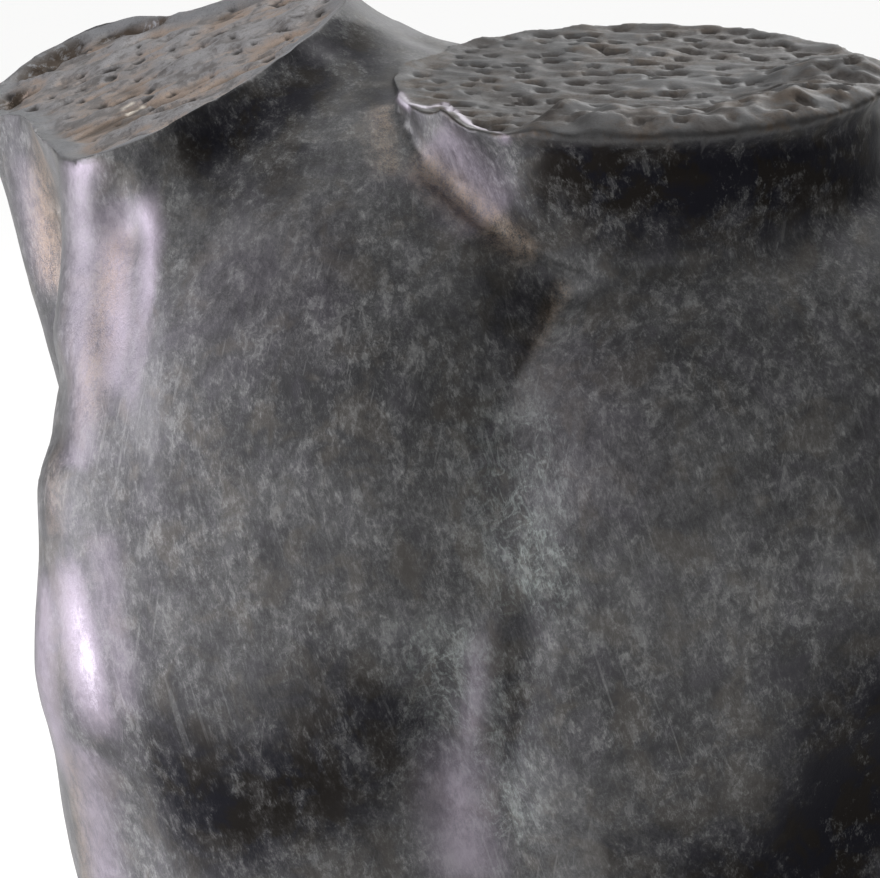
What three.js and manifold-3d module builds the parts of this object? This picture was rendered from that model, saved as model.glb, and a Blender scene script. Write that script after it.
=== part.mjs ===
// A standing torso in patinated cast bronze on its own low plinth.
// The head and both arms are cut away flat, the right arm was raised, and the legs end at the upper thigh.
// Millimetres, +Z up. The figure faces -Y and its left side is towards +X.
// The origin is the middle of the plinth's underside.
import * as THREE from 'three';
import { mergeVertices } from 'three/addons/utils/BufferGeometryUtils.js';
import Module from 'manifold-3d';

const wasm = await Module();
wasm.setup();

// Driving dimensions
const torsoHeight = 612; // thigh cut to the top of the raised shoulder
const plinthWidth = 310;
const plinthDepth = 240;
const plinthHeight = 40;
const plinthEdge = 3; // bevel round the plinth's top and bottom edges

// The figure is modelled in the millimetres of a life-size one, then brought to its own height.
const CELL = 14.7; // size of the skin's facets
const ROOM_LOW = [-260, -160, -150]; // the space that the uncut figure fills
const ROOM_HIGH = [310, 190, 960];
const CUT_REACH = 600; // size of a block that cuts a whole limb away

// Shapes of a body as fields: negative inside, zero on the skin, positive outside.

// An ellipsoid, turned by degrees about X, Y and Z.
function mass(at, size, turn = [0, 0, 0]) {
  const rotation = new THREE.Matrix4()
    .makeRotationFromEuler(new THREE.Euler(...turn.map(THREE.MathUtils.degToRad), 'ZYX'));
  const m = rotation.invert().elements;
  return (x, y, z) => {
    const dx = x - at[0];
    const dy = y - at[1];
    const dz = z - at[2];
    const qx = (m[0] * dx + m[4] * dy + m[8] * dz) / size[0];
    const qy = (m[1] * dx + m[5] * dy + m[9] * dz) / size[1];
    const qz = (m[2] * dx + m[6] * dy + m[10] * dz) / size[2];
    const reach = Math.hypot(qx, qy, qz);
    const slope = Math.hypot(qx / size[0], qy / size[1], qz / size[2]);
    return slope > 1e-9 ? reach * (reach - 1) / slope : -Math.min(...size);
  };
}

// A tapered limb with round ends.
function limb(from, to, fromRadius, toRadius) {
  const axis = [to[0] - from[0], to[1] - from[1], to[2] - from[2]];
  const square = axis[0] ** 2 + axis[1] ** 2 + axis[2] ** 2;
  return (x, y, z) => {
    const dx = x - from[0];
    const dy = y - from[1];
    const dz = z - from[2];
    const along = (dx * axis[0] + dy * axis[1] + dz * axis[2]) / square;
    const t = Math.min(1, Math.max(0, along));
    return Math.hypot(dx - axis[0] * t, dy - axis[1] * t, dz - axis[2] * t)
      - (fromRadius + (toRadius - fromRadius) * t);
  };
}

// Two fields joined, or one kept only within the other, with a soft seam of that width.
function join(a, b, seam) {
  const h = Math.max(seam - Math.abs(a - b), 0) / seam;
  return Math.min(a, b) - h * h * seam / 4;
}
function within(a, b, seam) {
  return -join(-a, -b, seam);
}

// A smooth step from 0 to 1 as x goes from one value to the other.
function ease(x, from, to) {
  const t = Math.min(1, Math.max(0, (x - from) / (to - from)));
  return t * t * (3 - 2 * t);
}

// A row of a table between its rows, by a smooth curve. The first column is the level.
function rowAt(table, level) {
  let i = 0;
  while (i < table.length - 2 && level > table[i + 1][0]) i += 1;
  const [low, high] = [table[i], table[i + 1]];
  const before = table[Math.max(i - 1, 0)];
  const after = table[Math.min(i + 2, table.length - 1)];
  const span = high[0] - low[0];
  const t = Math.min(1, Math.max(0, (level - low[0]) / span));
  return low.slice(1).map((start, column) => {
    const k = column + 1;
    const slopeLow = (high[k] - before[k]) / (high[0] - before[0]) * span;
    const slopeHigh = (after[k] - low[k]) / (after[0] - low[0]) * span;
    const a = 2 * start - 2 * high[k] + slopeLow + slopeHigh;
    const b = 3 * high[k] - 3 * start - 2 * slopeLow - slopeHigh;
    return ((a * t + b) * t + slopeLow) * t + start;
  });
}

// The pose: the spine's shift to the figure's left at each level, its lean and its turn to the left in degrees.
const SPINE = [
  [-100, -4, -2, -4],
  [100, 6, -4, -5],
  [230, 12, -5, -5],
  [400, 3, -1, -2],
  [540, -6, 3, 0],
  [650, 8, 9, 0],
  [718, 26, 11, 0],
  [900, 70, 11, 0],
];

// Where a point of the posed figure lies in the upright body.
function upright(x, y, z) {
  let level = z;
  let local = [x, y];
  for (let pass = 0; pass < 3; pass += 1) {
    const [shift, leanDegrees, turnDegrees] = rowAt(SPINE, level);
    const lean = THREE.MathUtils.degToRad(leanDegrees);
    const turn = THREE.MathUtils.degToRad(turnDegrees);
    const dx = x - shift;
    const dz = z - level;
    const sideways = dx * Math.cos(lean) - dz * Math.sin(lean);
    local = [
      sideways * Math.cos(turn) + y * Math.sin(turn),
      -sideways * Math.sin(turn) + y * Math.cos(turn),
    ];
    level += dx * Math.sin(lean) + dz * Math.cos(lean);
  }
  return [local[0], local[1], level];
}

// Level sections of the upright trunk: half width, depth in front, depth behind, squareness.
const SECTIONS = [
  [90, 138, 80, 88, 2.3],
  [190, 152, 86, 92, 2.3],
  [262, 148, 88, 90, 2.3],
  [330, 135, 88, 80, 2.3],
  [390, 132, 87, 76, 2.3],
  [450, 147, 90, 86, 2.3],
  [520, 158, 92, 98, 2.4],
  [600, 160, 95, 105, 2.5],
  [718, 158, 97, 94, 2.5],
  [800, 156, 88, 84, 2.5],
];
const CROTCH = 96; // level where the trunk ends between the thighs
const SHOULDER_TOP = 757; // level where it ends at the shoulders, before they are rounded

// Low relief on the front of the trunk, in millimetres: the breast muscles with the valley and the groove between
// them, the arch of the ribs, the belly on both sides of its middle line, and the edge of the groin.
function frontRelief(x, side, level) {
  const lateralRise = x > 0 ? 46 : -4;
  const breastEdge = 540 + 34 * ease(side, 34, 8) + lateralRise * ease(side, 92, 138);
  const breast = 15 * ease(level, breastEdge - 26, breastEdge + 26) * ease(level, 735, 640);
  const betweenBreasts = 7 * ease(side, 32, 8) * ease(level, 545, 585) * ease(level, 700, 640);
  const grooveAt = -10 * ease(level, 590, 640) * ease(level, 715, 650);
  const groove = 5 * ease(Math.abs(x - grooveAt), 30, 0) * ease(level, 610, 690);
  const archEdge = 478 - side * 0.4;
  const ribArch = 6 * ease(side, 10, 50) * ease(side, 120, 80) * ease(level, archEdge - 18, archEdge + 18)
    * ease(level, 570, 520);
  const belly = 7 * ease(side, 6, 34) * ease(side, 80, 44) * ease(level, 205, 270) * ease(level, 510, 440);
  const groinEdge = 190 + side * 0.85;
  const groin = 6 * ease(level, groinEdge - 18, groinEdge + 18) * ease(level, 360, 310) * ease(side, 20, 60);
  return breast - betweenBreasts - groove + ribArch + belly + groin;
}

// Low relief on the back: the spine's furrow between its two columns of muscle, and the shoulder blades.
function backRelief(side, level) {
  const furrow = 9 * ease(side, 34, 8) * ease(level, 240, 300) * ease(level, 730, 640);
  const column = 5 * ease(side, 12, 36) * ease(side, 76, 42) * ease(level, 250, 320) * ease(level, 600, 500);
  const bladeAt = Math.hypot((side - 84) / 46, (level - 640) / 74);
  const blade = 10 * ease(bladeAt, 1.15, 0.5);
  return blade + column - furrow;
}

// Thighs and buttocks, the same on both sides.
const thigh = limb([79, 2, 215], [96, -2, -40], 86, 74);
const buttock = mass([66, 52, 196], [74, 58, 82], [-8, 0, 0]);

function trunk(x, y, level) {
  const side = Math.hypot(x, 8);
  const [halfWidth, front, back, squareness] = rowAt(SECTIONS, level);
  const depth = y < 0 ? front : back;
  const stretch = ((Math.abs(x) / halfWidth) ** squareness + (Math.abs(y) / depth) ** squareness) ** (1 / squareness);
  let d = stretch > 1e-6 ? Math.hypot(x, y) * (1 - 1 / stretch) : -depth;
  d -= ease(-y, 22, 66) * frontRelief(x, side, level) + ease(y, 22, 66) * backRelief(side, level);
  d = within(d, level - SHOULDER_TOP, 110);
  d = within(d, CROTCH - level, 50);
  d = join(d, thigh(side, y, level), 36);
  d = join(d, buttock(side, y, level), 26);
  return d;
}

// The raised right shoulder and the lowered left one, placed on the posed figure.
const rightArm = limb([-80, 44, 640], [-162, 6, 860], 56, 56);
const rightFoldFront = limb([-128, -16, 790], [-124, -48, 640], 27, 30);
const rightFoldBack = limb([-194, 78, 800], [-134, 46, 625], 34, 36);
const rightTrapezius = limb([-104, 20, 754], [24, 46, 698], 34, 36);
const leftArm = limb([112, 10, 664], [222, 11, 618], 60, 57);
const leftTrapezius = limb([146, 18, 676], [24, 46, 702], 42, 36);

function figure(x, y, z) {
  let d = trunk(...upright(x, y, z));
  d = join(d, rightArm(x, y, z), 24);
  d = join(d, rightTrapezius(x, y, z), 30);
  d = join(d, rightFoldFront(x, y, z), 20);
  d = join(d, rightFoldBack(x, y, z), 20);
  d = join(d, leftTrapezius(x, y, z), 36);
  d = join(d, leftArm(x, y, z), 40);
  return d;
}

// The skin: a net of four-sided facets where the field is zero. Each grid cell that the skin crosses holds one
// vertex, which is then moved on to the skin and evened out along it.
function skin(field, low, high, cell) {
  const count = low.map((v, i) => Math.ceil((high[i] - v) / cell) + 1);
  const at = (i, k) => low[k] + i * cell;
  const index = (i, j, k) => i + count[0] * (j + count[1] * k);
  const values = new Float64Array(count[0] * count[1] * count[2]);
  for (let k = 0; k < count[2]; k += 1)
    for (let j = 0; j < count[1]; j += 1)
      for (let i = 0; i < count[0]; i += 1)
        values[index(i, j, k)] = field(at(i, 0), at(j, 1), at(k, 2));

  const points = [];
  const pointOf = new Map();
  for (let k = 0; k < count[2] - 1; k += 1)
    for (let j = 0; j < count[1] - 1; j += 1)
      for (let i = 0; i < count[0] - 1; i += 1) {
        let inside = 0;
        for (let c = 0; c < 8; c += 1)
          if (values[index(i + (c & 1), j + ((c >> 1) & 1), k + (c >> 2))] < 0) inside += 1;
        if (inside === 0 || inside === 8) continue;
        pointOf.set(index(i, j, k), points.length);
        points.push([at(i + 0.5, 0), at(j + 0.5, 1), at(k + 0.5, 2)]);
      }

  const quads = [];
  const steps = [index(1, 0, 0), index(0, 1, 0), index(0, 0, 1)];
  for (let k = 1; k < count[2] - 1; k += 1)
    for (let j = 1; j < count[1] - 1; j += 1)
      for (let i = 1; i < count[0] - 1; i += 1) {
        const here = index(i, j, k);
        for (let axis = 0; axis < 3; axis += 1) {
          const isInside = values[here] < 0;
          if (isInside === values[here + steps[axis]] < 0) continue;
          const u = steps[(axis + 1) % 3];
          const v = steps[(axis + 2) % 3];
          const ring = [here - u - v, here - v, here, here - u].map((c) => pointOf.get(c));
          quads.push(isInside ? ring : ring.reverse());
        }
      }

  const neighbours = points.map(() => new Set());
  for (const ring of quads)
    ring.forEach((p, i) => {
      neighbours[p].add(ring[(i + 1) % 4]);
      neighbours[p].add(ring[(i + 3) % 4]);
    });
  for (let pass = 0; pass < 8; pass += 1) {
    const evened = points.map((p, i) => {
      const mean = [0, 0, 0];
      for (const n of neighbours[i]) for (let a = 0; a < 3; a += 1) mean[a] += points[n][a] / neighbours[i].size;
      return p.map((value, a) => value + (mean[a] - value) * 0.5);
    });
    evened.forEach((p, i) => {
      points[i] = onSkin(field, onSkin(field, p, cell), cell);
    });
  }
  return { points, quads };
}

// One step of a point towards the skin, along the field's slope and no further than a cell.
function onSkin(field, [x, y, z], cell) {
  const step = 0.5;
  const value = field(x, y, z);
  const slope = [
    (field(x + step, y, z) - value) / step,
    (field(x, y + step, z) - value) / step,
    (field(x, y, z + step) - value) / step,
  ];
  const square = slope[0] ** 2 + slope[1] ** 2 + slope[2] ** 2 + 1e-9;
  const reach = Math.max(-cell, Math.min(cell, value / Math.sqrt(square))) / Math.sqrt(square);
  return [x - slope[0] * reach, y - slope[1] * reach, z - slope[2] * reach];
}

function geometryOf({ points, quads }) {
  const geometry = new THREE.BufferGeometry();
  geometry.setAttribute('position', new THREE.Float32BufferAttribute(points.flat(), 3));
  geometry.setIndex(quads.flatMap(([a, b, c, d]) => [a, b, c, a, c, d]));
  return geometry;
}

// Solids for joining and cutting
function solid(geometry) {
  const bare = geometry.clone();
  bare.deleteAttribute('normal');
  bare.deleteAttribute('uv');
  const merged = mergeVertices(bare, 1e-4);
  return new wasm.Manifold(new wasm.Mesh({
    numProp: 3,
    vertProperties: new Float32Array(merged.attributes.position.array),
    triVerts: new Uint32Array(merged.index.array),
  }));
}

function geometryFrom(manifold) {
  const mesh = manifold.getMesh();
  const geometry = new THREE.BufferGeometry();
  geometry.setAttribute('position', new THREE.BufferAttribute(mesh.vertProperties.slice(), 3));
  geometry.setIndex(new THREE.BufferAttribute(mesh.triVerts.slice(), 1));
  return geometry;
}

// Where the arms and legs are cut, on the posed figure, and which way each cut faces.
const CUTS = [
  { point: [-147, -49, 742], normal: [-0.422, -0.2, 1], size: CUT_REACH }, // right shoulder
  { point: [186, 8, 645], normal: [0.95, 0.03, -0.2], size: 170 }, // left shoulder
  { point: [0, 0, 0], normal: [0, 0, -1], size: CUT_REACH }, // thighs
];

// A block whose underside is the cut.
function cutBlock({ point, normal, size }) {
  const block = new THREE.BoxGeometry(size, size, size).translate(0, 0, size / 2);
  const turn = new THREE.Quaternion()
    .setFromUnitVectors(new THREE.Vector3(0, 0, 1), new THREE.Vector3(...normal).normalize());
  return solid(block.applyQuaternion(turn).translate(...point));
}

// The neck leans forward out of the shoulders and ends in a flat oval cut that falls towards the front.
const NECK_TOP = [38.5, -16, 770];
const NECK_FOOT = [40, 6, 690];
const NECK_TOP_RADII = [81.5, 76];
const NECK_FOOT_RADII = [77, 70];
const NECK_CUT_FALL = 0.09;
const NECK_SIDES = 44;
const NECK_RINGS = 4;

function neckGeometry() {
  const tube = new THREE.CylinderGeometry(1, 1, 1, NECK_SIDES, NECK_RINGS).rotateX(Math.PI / 2).translate(0, 0, 0.5);
  const position = tube.attributes.position;
  for (let i = 0; i < position.count; i += 1) {
    const t = position.getZ(i);
    const mix = (foot, top) => foot + (top - foot) * t;
    const x = position.getX(i) * mix(NECK_FOOT_RADII[0], NECK_TOP_RADII[0]);
    const y = position.getY(i) * mix(NECK_FOOT_RADII[1], NECK_TOP_RADII[1]);
    position.setXYZ(
      i,
      mix(NECK_FOOT[0], NECK_TOP[0]) + x,
      mix(NECK_FOOT[1], NECK_TOP[1]) + y,
      mix(NECK_FOOT[2], NECK_TOP[2]) + y * NECK_CUT_FALL * t,
    );
  }
  return tube;
}

function torsoGeometry() {
  let torso = solid(geometryOf(skin(figure, ROOM_LOW, ROOM_HIGH, CELL)));
  for (const cut of CUTS) torso = torso.subtract(cutBlock(cut));
  torso = torso.add(solid(neckGeometry()));
  const geometry = geometryFrom(torso);
  geometry.computeBoundingBox();
  const toOwnSize = torsoHeight / geometry.boundingBox.max.z;
  return geometry.scale(toOwnSize, toOwnSize, toOwnSize);
}

// Materials
const bronze = new THREE.MeshStandardMaterial({ color: 0x3b3b38, roughness: 0.45, metalness: 0.8 });
const plinthBronze = new THREE.MeshStandardMaterial({ color: 0x2e2d2b, roughness: 0.5, metalness: 0.8 });

function makeTorso() {
  const torso = new THREE.Mesh(torsoGeometry(), bronze);
  torso.name = 'torso';
  torso.position.z = plinthHeight;
  return torso;
}

// The bevel adds to the outline and to both ends, so these start smaller by its size.
function makePlinth() {
  const halfWidth = plinthWidth / 2 - plinthEdge;
  const halfDepth = plinthDepth / 2 - plinthEdge;
  const outline = new THREE.Shape()
    .moveTo(-halfWidth, -halfDepth)
    .lineTo(halfWidth, -halfDepth)
    .lineTo(halfWidth, halfDepth)
    .lineTo(-halfWidth, halfDepth)
    .closePath();
  const block = new THREE.ExtrudeGeometry(outline, {
    depth: plinthHeight - 2 * plinthEdge,
    bevelSize: plinthEdge,
    bevelThickness: plinthEdge,
    bevelSegments: 1,
  }).translate(0, 0, plinthEdge);
  const plinth = new THREE.Mesh(block, plinthBronze);
  plinth.name = 'plinth';
  return plinth;
}

const sculpture = new THREE.Group();
sculpture.add(makeTorso(), makePlinth());

export default sculpture;
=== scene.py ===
# %% [markdown]
# # A bronze torso
#
# The object is a standing torso cast in bronze, with its head, arms and legs cut away flat. It has a dark,
# mottled grey-green patina. The chest is smooth and brushed, and the cut faces are rough and pitted, as a
# sculptor leaves them in wax. The picture looks closely at the chest, the neck's cut and the raised right
# shoulder.
#
# The solid model gives the form in facets of about 11 mm. This script keeps that form and lays a fine skin
# over it, because bronze shows every dent: its reflections show a bump of a tenth of a millimetre.

# %% The frame and the tools
import math

import bmesh
import bpy
import numpy as np
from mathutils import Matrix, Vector, noise
from mathutils.bvhtree import BVHTree
from mathutils.kdtree import KDTree


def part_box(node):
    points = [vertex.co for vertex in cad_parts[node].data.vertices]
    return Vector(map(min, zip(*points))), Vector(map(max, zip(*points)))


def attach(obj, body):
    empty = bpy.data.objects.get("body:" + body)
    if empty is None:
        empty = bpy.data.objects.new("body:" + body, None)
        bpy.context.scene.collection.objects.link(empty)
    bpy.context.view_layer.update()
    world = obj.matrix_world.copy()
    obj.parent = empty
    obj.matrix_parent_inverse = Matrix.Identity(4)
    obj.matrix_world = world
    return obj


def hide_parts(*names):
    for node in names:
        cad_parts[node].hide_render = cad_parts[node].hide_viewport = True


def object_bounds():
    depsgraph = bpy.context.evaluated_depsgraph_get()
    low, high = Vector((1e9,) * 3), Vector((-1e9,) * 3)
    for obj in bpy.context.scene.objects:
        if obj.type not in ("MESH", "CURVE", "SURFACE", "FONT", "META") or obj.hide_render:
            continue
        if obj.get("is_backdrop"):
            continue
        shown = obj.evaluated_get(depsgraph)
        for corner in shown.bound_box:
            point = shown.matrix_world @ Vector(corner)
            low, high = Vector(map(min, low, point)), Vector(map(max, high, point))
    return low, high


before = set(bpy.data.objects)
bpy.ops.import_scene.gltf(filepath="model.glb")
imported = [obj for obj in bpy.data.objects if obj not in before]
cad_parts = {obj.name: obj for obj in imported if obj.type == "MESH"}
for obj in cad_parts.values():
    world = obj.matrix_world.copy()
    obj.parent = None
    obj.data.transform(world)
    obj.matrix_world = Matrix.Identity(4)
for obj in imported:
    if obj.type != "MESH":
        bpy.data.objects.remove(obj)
solid_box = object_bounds()
MM = 0.001
torso_low, torso_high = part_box("torso")
plinth_low, plinth_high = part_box("plinth")
print("torso", [round(v / MM, 1) for v in torso_high - torso_low], "mm")

# %% [markdown]
# ## The camera
#
# A camera can be aimed by eye, or worked out from one point that both the model and the picture have. Here
# that point is the pit of the neck, where the breastbone's groove meets the neck. The camera looks down on
# it a little, from the figure's left, through a long lens, so the two cut faces show as narrow ovals.

# %% The camera
PICTURE_WIDTH, PICTURE_HEIGHT = 880, 878
PIT_OF_NECK = Vector((20.15, -57.35, 596.45)) * MM
PIT_PIXEL = (570, 268)
CAMERA_AZIMUTH = math.radians(12)
CAMERA_ELEVATION = math.radians(13)
CAMERA_DISTANCE = 1.9
PIXELS_PER_METRE = 4000

right = Vector((math.cos(CAMERA_AZIMUTH), math.sin(CAMERA_AZIMUTH), 0))
back = Vector((
    math.sin(CAMERA_AZIMUTH) * math.cos(CAMERA_ELEVATION),
    -math.cos(CAMERA_AZIMUTH) * math.cos(CAMERA_ELEVATION),
    math.sin(CAMERA_ELEVATION),
))
up = back.cross(right)
focal_pixels = CAMERA_DISTANCE * PIXELS_PER_METRE


def placed(name, data):
    """A new object in the scene."""
    obj = bpy.data.objects.new(name, data)
    bpy.context.scene.collection.objects.link(obj)
    return obj


def off_axis(pixel):
    """How far right and up of the picture's middle a pixel is, as shares of the focal length."""
    return (
        (pixel[0] - PICTURE_WIDTH / 2) / focal_pixels,
        (PICTURE_HEIGHT / 2 - pixel[1]) / focal_pixels,
    )


pit_right, pit_up = off_axis(PIT_PIXEL)
camera_place = PIT_OF_NECK + CAMERA_DISTANCE * (back - right * pit_right - up * pit_up)

camera = placed("camera", bpy.data.cameras.new("camera"))
camera.location = camera_place
camera.rotation_euler = (-back).to_track_quat("-Z", "Y").to_euler()
camera.data.lens = focal_pixels / PICTURE_WIDTH * camera.data.sensor_width
camera.data.clip_end = 50
bpy.context.scene.camera = camera
print("lens", round(camera.data.lens), "mm")

# %% [markdown]
# ## From facets to a skin
#
# The solid's facets could be hidden with smooth shading alone, but their corners would still show in every
# reflection. A subdivision surface rounds them. It works best on even four-sided faces, so slivers are
# welded and the triangles are paired first. The five flat cuts are taken off, which leaves open rims, and a
# subdivision surface rounds an open rim into a clean curve.

# %% Open skin, rounded
FLAT_AREA = 600 * MM * MM
FLAT = 0.05 * MM
SLIVER = 2.6 * MM
NEARLY_FLAT = math.radians(0.15)


def merged_copy(node):
    """The node's mesh as a bmesh, with the vertices that its triangles share made one."""
    bm = bmesh.new()
    bm.from_mesh(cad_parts[node].data)
    bmesh.ops.remove_doubles(bm, verts=bm.verts, dist=0.01 * MM)
    return bm


def take_off_cuts(bm):
    """Deletes the flat cuts' faces, and returns each cut's middle and normal."""
    found = []
    for seed in [f for f in bm.faces if f.calc_area() > FLAT_AREA]:
        if not seed.is_valid:
            continue
        middle, normal = seed.calc_center_median(), seed.normal.copy()
        flat = [
            f for f in bm.faces if f.normal.dot(normal) > 0.9999
            and all(abs((v.co - middle).dot(normal)) < FLAT for v in f.verts)
        ]
        area = sum(f.calc_area() for f in flat)
        middle = sum((f.calc_center_median() * f.calc_area() for f in flat), Vector()) / area
        found.append((middle, normal))
        bmesh.ops.delete(bm, geom=flat, context="FACES_ONLY")
    bmesh.ops.delete(bm, geom=[e for e in bm.edges if e.is_wire], context="EDGES")
    return found


def open_edges(bm):
    """The edges of open rims."""
    return [e for e in bm.edges if e.is_boundary]


def weld_slivers(bm, distance):
    """Welds vertices that lie close together. Those of a rim stay where they are."""
    rim = [v for v in bm.verts if v.is_boundary]
    bmesh.ops.remove_doubles(bm, verts=rim, dist=distance)
    rim = [v for v in bm.verts if v.is_boundary]
    found = bmesh.ops.find_doubles(bm, verts=bm.verts, keep_verts=rim, dist=distance)
    bmesh.ops.weld_verts(bm, targetmap=found["targetmap"])


def rounded(obj, levels):
    """Bakes a subdivision surface into an object's mesh."""
    modifier = obj.modifiers.new("rounding", "SUBSURF")
    modifier.levels = modifier.render_levels = levels
    baked = bpy.data.meshes.new_from_object(obj.evaluated_get(bpy.context.evaluated_depsgraph_get()))
    obj.modifiers.clear()
    obj.data = baked


bm = merged_copy("torso")
bmesh.ops.dissolve_limit(
    bm, angle_limit=NEARLY_FLAT, use_dissolve_boundaries=False, verts=bm.verts, edges=bm.edges,
)
cuts = take_off_cuts(bm)
weld_slivers(bm, SLIVER)
bmesh.ops.triangulate(bm, faces=[f for f in bm.faces if len(f.verts) > 4])
bmesh.ops.join_triangles(
    bm, faces=[f for f in bm.faces if len(f.verts) == 3],
    angle_face_threshold=math.radians(40), angle_shape_threshold=math.radians(60),
)
fours = sum(len(f.verts) == 4 for f in bm.faces)
print("flat cuts:", len(cuts), " four-sided faces:", fours, "of", len(bm.faces))

skin = placed("torso_skin", bpy.data.meshes.new("torso_skin"))
bm.to_mesh(skin.data)
bm.free()
rounded(skin, 2)
print("rounded skin:", len(skin.data.polygons), "faces")

# %% [markdown]
# ## Finer rims, and the cuts laid back on
#
# The cuts' rims carry lumps and pits of 3 to 6 mm, so the faces next to them are divided once more. Then
# the skin is evened out, and each rim is closed with one face. A flat face can't be dented, so it is diced:
# planes about a millimetre apart slice it one way and then across, as a cook dices a vegetable.

# %% Divide, even out, close and dice
RIM_BAND = 9 * MM
CREASE_BAND = 5 * MM
NECK_DICE = 1.12 * MM
SHOULDER_DICE = 1.25 * MM
COARSE_DICE = 2.6 * MM
LID_CORNERS = 30
LEVEL = 0.1 * MM
PLANE_REACH = 110 * MM


def step(x, start, end):
    """A smooth step from 0 to 1 as x goes from start to end."""
    t = np.clip((x - start) / (end - start), 0, 1)
    return t * t * (3 - 2 * t)


def coordinates(mesh, what="co"):
    """The places, or normals, of a mesh's vertices as rows."""
    values = np.zeros(len(mesh.vertices) * 3)
    mesh.vertices.foreach_get(what, values)
    return values.reshape(-1, 3)


def the_cut(name, towards):
    """The cut whose normal and place lie furthest along a direction."""
    middle, normal = max(cuts, key=lambda cut: cut[1].dot(towards) + 2 * cut[0].dot(towards))
    print(name, "at", [round(v / MM) for v in middle], "mm")
    return middle, normal


def height_over(cut, points):
    """How far points stand over a cut's plane."""
    middle, normal = cut
    return (points - np.array(middle)) @ np.array(normal)


def on_plane(cut, vert):
    """Whether a vertex lies in a cut's plane, and not far from its middle."""
    offset = vert.co - cut[0]
    return abs(offset.dot(cut[1])) < LEVEL and offset.length < PLANE_REACH


def divide_near(bm, places, radius):
    """Cuts the edges near some places in half."""
    tree = KDTree(len(places))
    for i, place in enumerate(places):
        tree.insert(place, i)
    tree.balance()
    near = {v for v in bm.verts if tree.find(v.co)[2] < radius}
    edges = [e for e in bm.edges if e.verts[0] in near and e.verts[1] in near]
    bmesh.ops.subdivide_edges(bm, edges=edges, cuts=1, use_grid_fill=True)


def inside(bm):
    """The vertices that don't lie on an open rim."""
    return [v for v in bm.verts if not v.is_boundary]


def even_out(bm, verts, times):
    """Evens out some vertices, without moving the others."""
    for _ in range(times):
        bmesh.ops.smooth_vert(bm, verts=verts, factor=0.5, use_axis_x=True, use_axis_y=True, use_axis_z=True)


def loose_edges(bm):
    """How many edges aren't shared by two faces."""
    return sum(len(e.link_faces) != 2 for e in bm.edges)


def triangles(obj):
    """How many triangles an object's faces make."""
    return sum(len(p.vertices) - 2 for p in obj.data.polygons)


def parted(bm, faces):
    """Moves some faces into a bmesh of their own, because the slicing is slow in a large one."""
    bm.faces.index_update()
    moved = {f.index for f in faces}
    part = bm.copy()
    bmesh.ops.delete(part, geom=[f for f in part.faces if f.index not in moved], context="FACES")
    bmesh.ops.delete(bm, geom=[f for f in bm.faces if f.index in moved], context="FACES")
    return part


def joined(bm, part):
    """Brings the faces of another bmesh back, and merges the seam."""
    carrier = bpy.data.meshes.new("carrier")
    part.to_mesh(carrier)
    part.free()
    bm.from_mesh(carrier)
    bpy.data.meshes.remove(carrier)
    seam = [v for v in bm.verts if v.is_boundary]
    bmesh.ops.remove_doubles(bm, verts=seam, dist=0.001 * MM)


def sliced(bm, faces, middle, along, low, high, width):
    """Halves some faces with a plane, and each half again, until the slices are one width thick."""
    count = round((high - low) / width)
    if count < 2 or not faces:
        return faces
    offset = low + (high - low) * (count // 2) / count
    piece = list(dict.fromkeys(e for f in faces for e in (*f.edges, *f.verts))) + faces
    piece = bmesh.ops.bisect_plane(
        bm, geom=piece, dist=width * 0.25, plane_co=middle + along * offset, plane_no=along,
    )["geom"]
    faces = [f for f in piece if isinstance(f, bmesh.types.BMFace)]
    beyond = [(f.calc_center_median() - middle).dot(along) > offset for f in faces]
    nearer = [f for f, far in zip(faces, beyond) if not far]
    farther = [f for f, far in zip(faces, beyond) if far]
    nearer = sliced(bm, nearer, middle, along, low, offset, width)
    return nearer + sliced(bm, farther, middle, along, offset, high, width)


def plane_axes(cut):
    """Two directions in a cut's plane. On the upper cuts the first runs to the figure's right."""
    normal = cut[1]
    first = normal.cross(Vector((0, 1, 0) if abs(normal.y) < 0.7 else (1, 0, 0))).normalized()
    return first, normal.cross(first)


def dice(bm, face, cut, width):
    """Slices a face with planes, one way and then across."""
    middle = cut[0]
    faces = [face]
    for along in plane_axes(cut):
        reach = [(v.co - middle).dot(along) for f in faces for v in f.verts]
        faces = sliced(bm, faces, middle, along, min(reach), max(reach), width)
    return faces


def seen_at(tree, pixel):
    """The place and normal of the skin that shows at a pixel."""
    across, rise = off_axis(pixel)
    place, normal, _, _ = tree.ray_cast(camera_place, right * across + up * rise - back)
    if place is None:
        raise ValueError(f"the pixel {pixel} misses the skin")
    return place, normal


BREASTBONE = [(570, 270), (556, 300), (540, 332), (520, 370), (497, 410), (480, 452)]
NECK_CREASE = [(404, 158), (430, 177), (472, 212), (515, 248), (566, 267)]

neck_cut = the_cut("neck cut", Vector((0.1, -0.1, 1)))
right_cut = the_cut("right shoulder cut", Vector((-1, 0, 0.3)))
left_cut = the_cut("left shoulder cut", Vector((1, 0, 0)))

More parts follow.
